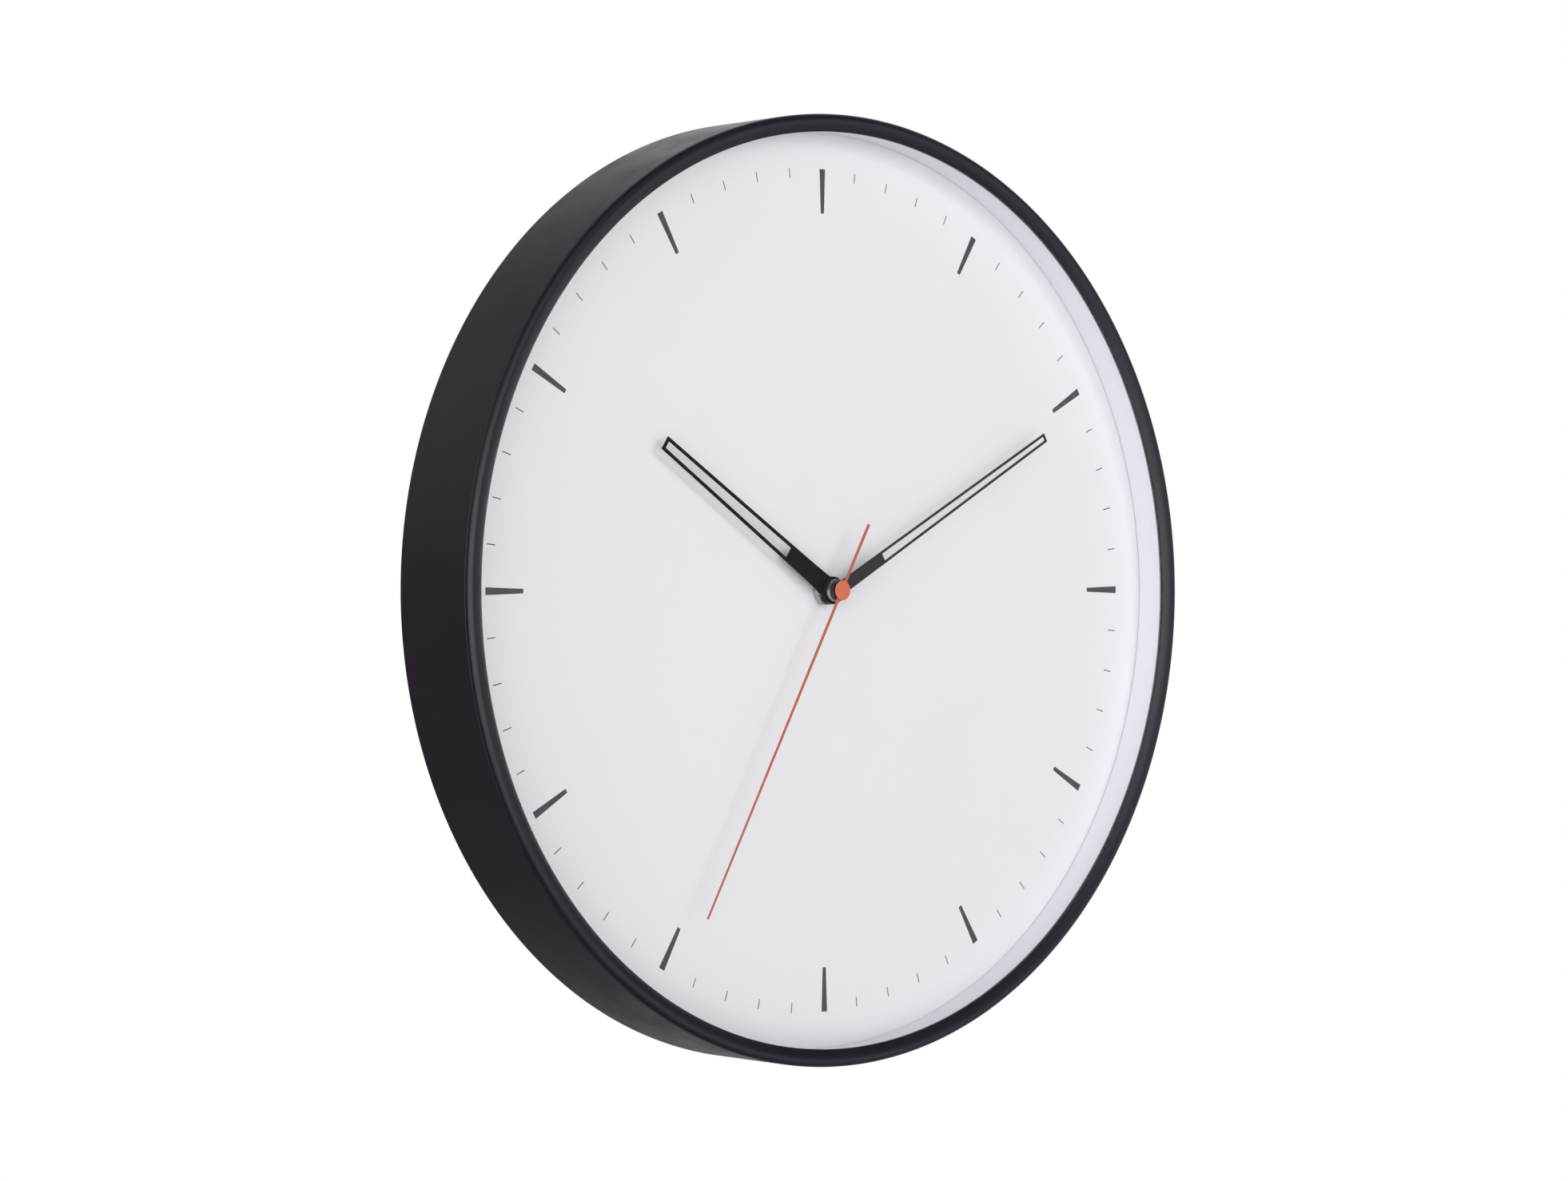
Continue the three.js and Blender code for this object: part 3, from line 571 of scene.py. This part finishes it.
def about_axis(share):
    """Moves a shape made about the origin to the hands' axis and turns it by a share of a full turn."""
    return Matrix.Translation((CENTRE.x, 0, CENTRE.z)) @ Matrix.Rotation(TURN * share, 4, "Y")


def rear_ribs():
    """Two raised rings and the spokes between them on the moulded rear cover."""
    low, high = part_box("rear_cover")
    radius = (high.x - low.x) / 2
    inner = 0.42 * radius
    outer = 0.92 * radius  # between the wall bumpers and the screws
    spokes = 12
    top = high.y + 0.9 * MM
    root = high.y - 0.3 * MM
    half = 0.8 * MM

    def build(bm):
        for r in (inner, outer):
            outline = [(r - half, root), (r - half, top), (r + half, top), (r + half, root)]
            ring = turned_mesh("ring", rounded(outline, 0.3 * MM), CENTRE, segments=256)
            bm.from_mesh(ring)
            bpy.data.meshes.remove(ring)
        size = Matrix.Diagonal((outer - inner - half, top - root - 0.1 * MM, 1.4 * half, 1))
        place = Matrix.Translation(((inner + outer) / 2, (top + root) / 2, 0))
        for i in range(spokes):
            spoke = bmesh.ops.create_cube(bm, size=1)["verts"]
            bmesh.ops.transform(bm, verts=spoke, matrix=about_axis((i + 0.5) / spokes) @ place @ size)
            edges = list({e for v in spoke for e in v.link_edges})
            bmesh.ops.bevel(bm, geom=edges, offset=0.2 * MM, segments=2, profile=0.5, affect="EDGES")
    return piece("rear_cover_ribs", mesh_of("rear_cover_ribs", build), BACK_BLACK, "case")


rear_ribs()


def recess_cutter(axis, head_top, depth, reach, width, twist):
    """Two crossed bars that cut a cross recess into a screw's head."""
    def build(bm):
        size = Matrix.Diagonal((reach, depth, width, 1))
        for turn in (0, TURN / 4):
            bar = bmesh.ops.create_cube(bm, size=1)["verts"]
            place = Matrix.Translation((axis.x, head_top, axis.z)) @ Matrix.Rotation(turn + twist, 4, "Y")
            bmesh.ops.transform(bm, verts=bar, matrix=place @ size)
    cutter = bpy.data.objects.new("recess", mesh_of("recess", build))
    bpy.context.scene.collection.objects.link(cutter)
    return cutter


def cross_screw(node):
    """A pan-head screw with a cross recess, turned from the CAD screw's outline."""
    axis = middle(node)
    outline = section(node, axis)
    if outline[0][1] > outline[-1][1]:
        outline.reverse()
    head_top = outline[-1][1]
    head_radius = max(p[0] for p in outline)
    seat = min(p[1] for p in outline if near(p[0], head_radius))
    thick = head_top - seat
    shank = [p for p in outline if p[1] < seat + SAME and not near(p[0], head_radius)]
    dome = [(head_radius * math.cos(angle), seat + thick * (0.45 + 0.55 * math.sin(angle)))
            for angle in (TURN / 4 * i / 8 for i in range(9))]
    turned = turned_mesh(node, shank + [(head_radius, seat)] + dome, axis, closed=False, segments=48)
    made = piece(f"{node}_fine", turned, ZINC, "case", (node,))
    twist = 40 * axis.x  # no two screws of a real clock stand alike
    cutter = recess_cutter(axis, head_top, 1.2 * thick, 1.1 * head_radius, 0.32 * head_radius, twist)
    cut = made.modifiers.new("recess", "BOOLEAN")
    cut.operation = "DIFFERENCE"
    cut.solver = "EXACT"
    cut.use_self = True
    cut.object = cutter
    bpy.context.view_layer.update()
    result = bpy.data.meshes.new_from_object(made.evaluated_get(bpy.context.evaluated_depsgraph_get()))
    made.modifiers.remove(cut)
    made.data = result
    made.data.set_sharp_from_angle(angle=math.radians(32))
    bpy.data.objects.remove(cutter)


for screw in [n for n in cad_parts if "_screw_" in n]:
    cross_screw(screw)


def bumper(node):
    """A rubber foot with a rounded rim and two grooves."""
    low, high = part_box(node)
    radius = (high.x - low.x) / 2
    face = high.y
    outline = [(0, low.y), (radius, low.y), (radius, face - 0.6 * MM), (radius - 0.6 * MM, face)]
    for groove in (0.66, 0.33):
        r = radius * groove
        outline += [(r + 0.4 * MM, face), (r, face - 0.5 * MM), (r - 0.4 * MM, face)]
    outline.append((0, face))
    mesh = turned_mesh(node, rounded(outline, 0.25 * MM, closed=False), middle(node), closed=False)
    return piece(f"{node}_fine", mesh, RUBBER, "case", (node,))


bumper("wall_bumper_left")
bumper("wall_bumper_right")


# ---- Dial print ----
DIAL_RADIUS = (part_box("dial_plate")[1].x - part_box("dial_plate")[0].x) / 2
INK_THICKNESS = 0.02 * MM
# Where the bars begin and end, as shares of the dial's radius, and half their widths there.
HOUR_MARK = {"inner": 0.817, "outer": 0.913, "inner_half": 0.9 * MM, "outer_half": 1.55 * MM}
MINUTE_MARK = {"inner": 0.8925, "outer": 0.914, "inner_half": 0.21 * MM, "outer_half": 0.21 * MM}


def marks(name, mark, minutes):
    """Thin tapered bars of ink on the dial at these minutes."""
    widths = ((mark["inner"] * DIAL_RADIUS, mark["inner_half"]),
              (mark["outer"] * DIAL_RADIUS, mark["outer_half"]))
    corners_of_bar = [(side * half, r) for r, half in widths for side in (-1, 1)]
    round_the_bar = (0, 1, 3, 2)

    def build(bm):
        for minute in minutes:
            turn = about_axis(minute / 60)
            front, rear = ([bm.verts.new(turn @ Vector((x, y, z))) for x, z in corners_of_bar]
                           for y in (DIAL_FRONT - INK_THICKNESS, DIAL_FRONT))
            bm.faces.new([front[i] for i in round_the_bar])
            bm.faces.new([rear[i] for i in round_the_bar])
            for a, b in zip(round_the_bar, round_the_bar[1:] + round_the_bar[:1]):
                bm.faces.new((front[a], front[b], rear[b], rear[a]))
    return piece(name, mesh_of(name, build), INK, "case")


marks("hour_marks", HOUR_MARK, range(0, 60, 5))
marks("minute_marks", MINUTE_MARK, [minute for minute in range(60) if minute % 5])


# ---- Hands ----
def hub_ring(node, body, look, hole):
    """The thick round hub of a hand, with a rounded front edge."""
    low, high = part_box(node)
    points = [(math.hypot(p.x - CENTRE.x, p.z - CENTRE.z), p.y) for p in corners(node)]
    outer = max(r for r, y in points if near(y, low.y))
    outline = [(hole, low.y), (outer, low.y), (outer, high.y - 0.05 * MM), (hole, high.y - 0.05 * MM)]
    mesh = turned_mesh(f"{node}_hub", rounded(outline, 0.25 * MM), CENTRE, segments=96)
    return piece(f"{node}_hub", mesh, look, body)


def blade_front(node):
    """The depth of the blade's front face: the first one behind the hub's front."""
    return sorted({round(p.y, 6) for p in corners(node)})[1]


def frame_hand(node, body, look):
    """A hand made of a flat slotted frame with a thick round hub."""
    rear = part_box(node)[1].y
    hole = min(math.hypot(p.x - CENTRE.x, p.z - CENTRE.z) for p in corners(node))
    outlines = [arc_smoothed(outline) for outline in flat_outlines(node, rear)]
    mesh = flat_mesh(node, outlines, blade_front(node), rear, 0.07 * MM)
    piece(f"{node}_blade", mesh, look, body, (node,), FLAT_EDGE)
    hub_ring(node, body, look, hole)


frame_hand("hour_hand", "hour_arbor", HAND_BLACK)
frame_hand("minute_hand", "minute_arbor", HAND_GREY)
turn_again("hour_collet", ZINC, "hour_arbor", 0.12 * MM)
turn_again("minute_collet", ZINC, "minute_arbor", 0.12 * MM)


def second_hand():
    """A flat tapered needle with a round boss behind the cap."""
    low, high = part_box("second_hand")
    needle_rear = sorted({round(p.y, 6) for p in corners("second_hand")})[1]
    outlines = [arc_smoothed(outline) for outline in flat_outlines("second_hand", low.y)]
    mesh = flat_mesh("second_hand", outlines, low.y, needle_rear, 0.06 * MM)
    # The needle takes the darker orange: painted shade.
    piece("second_hand_needle", mesh, NEEDLE_ORANGE_PAINTED_SHADE, "seconds_arbor", ("second_hand",),
          FLAT_EDGE)
    radii = [math.hypot(p.x - CENTRE.x, p.z - CENTRE.z) for p in corners("second_hand") if near(p.y, high.y)]
    bore = min(radii)
    outer = max(radii)
    outline = rounded([(bore, low.y), (outer, low.y), (outer, high.y), (bore, high.y)], 0.1 * MM)
    sleeve = turned_mesh("second_hand_sleeve", outline, CENTRE, segments=48)
    piece("second_hand_sleeve", sleeve, HAND_ORANGE, "seconds_arbor")


second_hand()
turn_again("second_cap", HAND_ORANGE, "seconds_arbor", 0.22 * MM, 128)


# ---- Fixing nut and washers ----
def fixing_nut():
    """A thin hexagon nut, chamfered on both faces, with the start of its thread in the bore."""
    low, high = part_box("fixing_nut")
    across_corners = (high.x - low.x) / 2
    bore = min(math.hypot(p.x - CENTRE.x, p.z - CENTRE.z) for p in corners("fixing_nut"))
    flat = across_corners * math.cos(TURN / 12)
    face = 0.985 * flat  # radius of the round faces that the chamfers leave
    rise = 0.45 * MM
    lead_in = 0.3 * MM
    mouth = bore + 0.35 * MM
    chamfer = [(low.y, 0), (low.y + rise / 2, 0.5), (low.y + rise, 1), (high.y - rise, 1),
               (high.y - rise / 2, 0.5), (high.y, 0)]

    def build(bm):
        rings = []
        segments = 144
        for i in range(segments):
            angle = TURN * i / segments
            hexagon = flat / math.cos(angle % (TURN / 6) - TURN / 12)
            outside = [(min(hexagon, face + (across_corners - face) * share), y) for y, share in chamfer]
            inside = [(mouth, high.y), (bore, high.y - lead_in), (bore, low.y + lead_in), (mouth, low.y)]
            rings.append([round_axis(CENTRE, angle, r, y) for r, y in outside + inside])
        skin(bm, rings)
    mesh = mesh_of("fixing_nut", build)
    return piece("fixing_nut_fine", mesh, CHROME, "case", ("fixing_nut",), 25)


fixing_nut()
turn_again("brass_washer", BRASS, "case", 0.08 * MM)
turn_again("rubber_washer", RUBBER, "case", 0.15 * MM)


# ---- Movement ----
def battery_cell():
    """An AA cell along X: crimped steel ends, printed film and the small raised contact at its +X end."""
    low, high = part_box("battery")
    radius = (high.z - low.z) / 2
    shoulder = sorted({round(p.x, 6) for p in corners("battery")})[-2]
    nub = 2.6 * MM
    dent = low.x + 0.3 * MM
    groove = shoulder - 0.25 * MM
    outline = [(0, dent), (radius * 0.72, dent), (radius * 0.78, low.x), (radius * 0.93, low.x),
               (radius, low.x + 0.7 * MM), (radius, shoulder - 0.6 * MM), (radius * 0.93, shoulder),
               (radius * 0.55, shoulder), (radius * 0.52, groove), (radius * 0.4, groove), (nub, shoulder),
               (nub, high.x - 0.3 * MM), (nub - 0.3 * MM, high.x), (0, high.x)]
    centre = middle("battery")
    mesh = turned_mesh("battery", rounded(outline, 0.2 * MM, closed=False), Vector((0, 0, 0)), closed=False)
    mesh.transform(Matrix.Translation((0, centre.y, centre.z)) @ Matrix.Rotation(-math.pi / 2, 4, "Z"))
    film = battery_film("battery_jacket", low.x + (high.x - low.x) * 0.72, low.x + 0.5 * MM)
    return piece("battery_fine", mesh, film, "case", ("battery",))


def knob_grip():
    """The fluted rim of the time-setting knob, over the CAD knob's disc."""
    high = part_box("setting_knob")[1]
    centre = middle("setting_knob")
    radius = high.x - centre.x + 0.15 * MM
    on_rim = [p for p in corners("setting_knob") if math.hypot(p.x - centre.x, p.z - centre.z) > radius * 0.9]
    front = min(p.y for p in on_rim) - 0.05 * MM
    rim = high.y + 0.1 * MM
    dish = high.y + 0.05 * MM
    outline = [(0, front), (radius, front), (radius, rim), (radius * 0.75, rim), (radius * 0.68, dish),
               (0, dish)]
    flutes = 36
    depth = 0.022

    def fluted(angle):
        return 1 - depth * (1 + math.cos(flutes * angle))

    outline = rounded(outline, 0.3 * MM, closed=False)
    mesh = turned_mesh("knob_grip", outline, centre, closed=False, segments=8 * flutes, wave=fluted)
    return piece("setting_knob_grip", mesh, MOVEMENT_BLACK, "time_setter")


battery_cell()
knob_grip()
bevelled_copy("movement_housing", MOVEMENT_BLACK, "case", 0.2 * MM)
bevelled_copy("movement_back_cover", MOVEMENT_BLACK, "case", 0.2 * MM)
bevelled_copy("contact_plus", BRASS, "case", 0.1 * MM)
bevelled_copy("contact_minus", BRASS, "case", 0.1 * MM)

# Pieces inside the movement keep their CAD meshes and take these looks.
HIDDEN_LOOKS = {
    "middle_plate": ACETAL, "stator": STEEL, "coil": COPPER, "coil_core": STEEL, "circuit_board": BOARD,
    "controller_chip": CHIP_BLACK, "quartz_crystal": ZINC, "second_wheel": STEEL, "centre_wheel": ACETAL,
    "minute_pipe": CHROME, "hour_wheel": ACETAL, "third_wheel": ACETAL, "intermediate_wheel": ACETAL,
    "rotor": STEEL, "motion_wheel": ACETAL, "setting_knob": MOVEMENT_BLACK,
}
for node, look in HIDDEN_LOOKS.items():
    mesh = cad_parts[node].data
    mesh.materials.clear()
    mesh.materials.append(look)


# ---- Studio ----
def floor():
    """A pale round floor well below the clock. It thins out towards its edge and ends without a line."""
    radius = 1.6
    nodes = Nodes(bpy.data.materials.new("floor"))
    color = nodes.between(nodes.spread(nodes.noise(1.5, 4), 0, 1), (0.86, 0.86, 0.87), (0.9, 0.9, 0.91))
    pale = nodes.surface(color, 0.8, nodes.bump(nodes.noise(200, 3), 0.1 * MM, 0.3))
    from_middle = nodes.node("ShaderNodeVectorMath", operation="LENGTH")
    nodes.link(nodes.coordinates["Object"], from_middle.inputs[0])
    thinning = nodes.spread(from_middle.outputs["Value"], 0, 1, radius * 0.35, radius)
    look = nodes.finish(nodes.blended(thinning, pale, nodes.node("ShaderNodeBsdfTransparent")))

    def build(bm):
        bmesh.ops.create_circle(bm, cap_ends=True, segments=96, radius=radius)
    mesh = mesh_of("floor", build)
    mesh.materials.append(look)
    made = bpy.data.objects.new("floor", mesh)
    made.location = (CENTRE.x, CENTRE.y, CAD_BOX[0].z - 1.2)
    bpy.context.scene.collection.objects.link(made)
    made.visible_glossy = False


# The room's brightness by direction, as curves. Heights, depths and sides run from 0 to 1: from down, front
# and left to up, back and right.
ROOM_LEVEL = 2.05
FRONT_LEFT = [(0, 0.04), (0.12, 0.08), (0.25, 0.45), (0.4, 0.86), (0.5, 1), (0.62, 0.86), (0.75, 0.4),
              (1, 0.04)]
FRONT_RIGHT = [(0, 0.03), (0.2, 0.15), (0.35, 0.22), (0.45, 0.34), (0.5, 0.32), (0.57, 0.1), (0.7, 0.07),
               (1, 0.03)]
BACK = [(0, 0.05), (0.1, 0.11), (0.2, 0.135), (0.33, 0.21), (0.5, 0.27), (0.67, 0.45), (0.8, 0.28),
        (0.95, 0.1), (1, 0.03)]
BACK_SIDE = [(0, 0.4), (0.33, 0.44), (0.5, 0.62), (0.67, 0.84), (0.8, 1), (1, 1)]
LEFT_SHARE = [(0, 1), (0.4, 0.95), (0.7, 0.1), (1, 0)]
FRONT_SHARE = [(0, 1), (0.34, 1), (0.5, 0.3), (0.62, 0), (1, 0)]


def curve(nodes, value, stops):
    """The value read off a smooth curve through these stops."""
    made = nodes.node("ShaderNodeFloatCurve")
    line = made.mapping.curves[0]
    line.points[0].location = stops[0]
    line.points[1].location = stops[-1]
    for stop in stops[1:-1]:
        line.points.new(*stop)
    made.mapping.update()
    nodes.link(value, made.inputs["Value"])
    return made.outputs["Value"]


def shared(nodes, share, first, second):
    """first and second added in the proportion that share gives, from 0 to 1."""
    rest = nodes.math("MULTIPLY", nodes.math("SUBTRACT", 1, share), second)
    return nodes.math("ADD", nodes.math("MULTIPLY", share, first), rest)


def plain_light(nodes, color):
    made = nodes.node("ShaderNodeBackground")
    made.inputs["Color"].default_value = (*color, 1)
    return made


def room():
    """A white room to the eye. Its light comes mostly from the front, between the knees and the ceiling."""
    nodes = Nodes(bpy.data.worlds.new("studio"), "ShaderNodeOutputWorld")
    split = nodes.node("ShaderNodeSeparateXYZ")
    nodes.link(nodes.coordinates["Generated"], split.inputs["Vector"])
    side, depth, height = (nodes.spread(split.outputs[axis], 0, 1, -1, 1) for axis in "XYZ")
    left = curve(nodes, height, FRONT_LEFT)
    right = curve(nodes, height, FRONT_RIGHT)
    front = shared(nodes, curve(nodes, side, LEFT_SHARE), left, right)
    back = nodes.math("MULTIPLY", curve(nodes, height, BACK), curve(nodes, side, BACK_SIDE))
    level = shared(nodes, curve(nodes, depth, FRONT_SHARE), front, back)
    light = plain_light(nodes, (1, 0.97, 1))
    nodes.link(nodes.math("MULTIPLY", level, ROOM_LEVEL), light.inputs["Strength"])
    by_eye = nodes.node("ShaderNodeLightPath").outputs["Is Camera Ray"]
    bpy.context.scene.world = nodes.finish(nodes.blended(by_eye, light, plain_light(nodes, (1, 1, 1))))


def lamp(name, direction, distance, size, energy, color):
    """A round soft lamp that faces the middle of the clock and makes no glare."""
    light = bpy.data.lights.new(name, "AREA")
    light.shape = "DISK"
    light.size = size
    light.energy = energy
    light.color = color
    made = bpy.data.objects.new(name, light)
    bpy.context.scene.collection.objects.link(made)
    towards_lamp = Vector(direction).normalized()
    made.location = CENTRE + towards_lamp * distance
    made.rotation_euler = towards_lamp.to_track_quat("Z", "Y").to_euler()
    made.visible_glossy = False


# The camera fitted to the rim's ellipses in the photograph: where the eye is from the middle of the bezel's
# opening, which way it looks, its lens, and how far the picture leans.
EYE = Vector((-1.0883, -1.1957, 0))
LOOKING = Vector((0.6605, 0.7508, 0))
FOCAL_LENGTH = 88.2
LEAN = math.radians(-0.14)
OPENING_SETBACK = 1.9 * MM  # from the bezel's crest back to its opening


def camera():
    """The viewpoint of the photograph: level with the axis, about 42 degrees to the left of it."""
    eye = bpy.data.cameras.new("camera")
    eye.sensor_width = 36
    eye.lens = FOCAL_LENGTH
    eye.clip_start = 0.05
    made = bpy.data.objects.new("camera", eye)
    bpy.context.scene.collection.objects.link(made)
    opening = Vector((CENTRE.x, CAD_BOX[0].y + OPENING_SETBACK, CENTRE.z))
    place = Matrix.Translation(opening + EYE)
    aim = LOOKING.to_track_quat("-Z", "Y").to_matrix().to_4x4()
    made.matrix_world = place @ aim @ Matrix.Rotation(LEAN, 4, "Z")
    bpy.context.scene.camera = made


floor()
room()
lamp("key", direction=(0.25, -1, 0.33), distance=1.5, size=0.5, energy=3.2, color=(1, 0.985, 0.97))
lamp("rear_fill", direction=(0, 1, 0), distance=2, size=0.6, energy=50, color=(1, 1, 1))
camera()
bpy.context.scene.view_settings.view_transform = "Standard"
